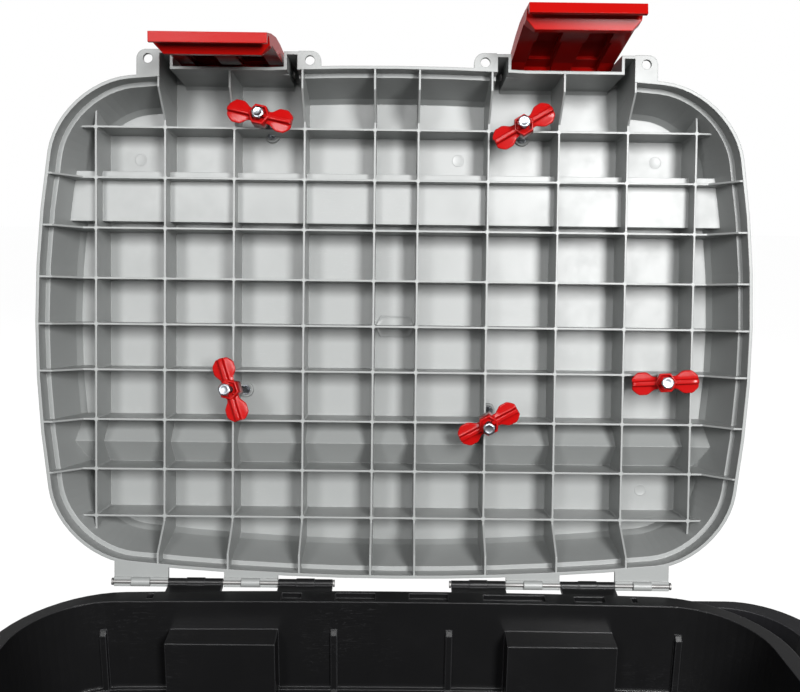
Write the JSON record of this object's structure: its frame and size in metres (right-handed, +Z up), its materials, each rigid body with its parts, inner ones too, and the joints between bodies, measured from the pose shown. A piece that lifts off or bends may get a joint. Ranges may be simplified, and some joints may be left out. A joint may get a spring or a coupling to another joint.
{
  "type": "rolling toolbox",
  "caption": "Deep black moulded tub on two wheels, with a pull handle and a grey ribbed lid hinged at the back, red latches and red wing knobs.",
  "frame": {"origin": "on the floor, in the middle of the tub's footprint, under the middle skid rail", "axes": "+X along the box towards the pull handle, +Y towards the hinges at the back, +Z up"},
  "size_m": [0.918, 0.8554, 1.1317],
  "materials": {
    "tub_plastic": "fine moulded grain",
    "lid_plastic": "smooth moulded, light grey",
    "latch_plastic": "glossy red",
    "knob_plastic": "glossy red",
    "handle_plastic": "fine moulded grain",
    "wheel_plastic": "moulded, dark grey",
    "tyre_rubber": "solid rubber",
    "arm_steel": "black painted flat bar",
    "bright_steel": "zinc plated",
    "bolt_steel": "bright zinc plated"
  },
  "bodies": {
    "tub": {"tub": "tub_plastic", "axle": "bright_steel", "hub_caps": "bright_steel", "hinge_pin_left": "bright_steel", "hinge_pin_right": "bright_steel"},
    "wheel_front": {"wheel_rim_front": "wheel_plastic", "tyre_front": "tyre_rubber"},
    "wheel_back": {"wheel_rim_back": "wheel_plastic", "tyre_back": "tyre_rubber"},
    "pull_handle": {"handle_grip": "handle_plastic", "handle_arm_front": "arm_steel", "handle_arm_back": "arm_steel", "handle_rivets": "bright_steel"},
    "lid": {"lid": "lid_plastic", "latch_pin_left": "bright_steel", "latch_pin_right": "bright_steel"},
    "latch_left": {"latch_left": "latch_plastic"},
    "latch_right": {"latch_right": "latch_plastic"},
    "wing_knob_1": {"bolt_1": "bolt_steel", "wing_knob_1": "knob_plastic", "bolt_ring_1": "bolt_steel"},
    "wing_knob_2": {"bolt_2": "bolt_steel", "wing_knob_2": "knob_plastic", "bolt_ring_2": "bolt_steel"},
    "wing_knob_3": {"bolt_3": "bolt_steel", "wing_knob_3": "knob_plastic", "bolt_ring_3": "bolt_steel"},
    "wing_knob_4": {"bolt_4": "bolt_steel", "wing_knob_4": "knob_plastic", "bolt_ring_4": "bolt_steel"},
    "wing_knob_5": {"bolt_5": "bolt_steel", "wing_knob_5": "knob_plastic", "bolt_ring_5": "bolt_steel"}
  },
  "joints": [
    {"name": "lid_hinge", "type": "hinge", "parent": "tub", "child": "lid", "pos_m": [0, 0.3055, 0.48], "axis": [1, 0, 0], "range_deg": [0, 103.5]},
    {"name": "pull_handle_slide", "type": "slide", "parent": "tub", "child": "pull_handle", "axis": [1, 0, 0], "range_m": [0, 0.28]},
    {"name": "wheel_front_spin", "type": "hinge", "parent": "tub", "child": "wheel_front", "pos_m": [-0.345, -0.221, 0.08], "axis": [0, 1, 0], "continuous": true},
    {"name": "wheel_back_spin", "type": "hinge", "parent": "tub", "child": "wheel_back", "pos_m": [-0.345, 0.221, 0.08], "axis": [0, 1, 0], "continuous": true},
    {"name": "latch_left_hinge", "type": "hinge", "parent": "lid", "child": "latch_left", "pos_m": [-0.1955, 0.51196, 1.05725], "axis": [-1, 0, 0], "range_deg": [-4.7, 85]},
    {"name": "latch_right_hinge", "type": "hinge", "parent": "lid", "child": "latch_right", "pos_m": [0.1955, 0.51196, 1.05725], "axis": [-1, 0, 0], "range_deg": [-15.2, 75]},
    {"name": "wing_knob_1_spin", "type": "hinge", "parent": "lid", "child": "wing_knob_1", "pos_m": [-0.1551, 0.5206, 0.98185], "axis": [0.0536, 0.9423, -0.3305], "continuous": true},
    {"name": "wing_knob_2_spin", "type": "hinge", "parent": "lid", "child": "wing_knob_2", "pos_m": [0.1569, 0.52065, 0.98205], "axis": [0.1043, 0.9593, -0.2625], "continuous": true},
    {"name": "wing_knob_3_spin", "type": "hinge", "parent": "lid", "child": "wing_knob_3", "pos_m": [-0.1859, 0.44636, 0.67264], "axis": [0.1145, 0.9438, -0.31], "continuous": true},
    {"name": "wing_knob_4_spin", "type": "hinge", "parent": "lid", "child": "wing_knob_4", "pos_m": [0.1185, 0.44106, 0.65057], "axis": [0.0718, 0.9908, -0.1147], "continuous": true},
    {"name": "wing_knob_5_spin", "type": "hinge", "parent": "lid", "child": "wing_knob_5", "pos_m": [0.3335, 0.44993, 0.68752], "axis": [0.1462, 0.946, -0.2895], "continuous": true}
  ]
}
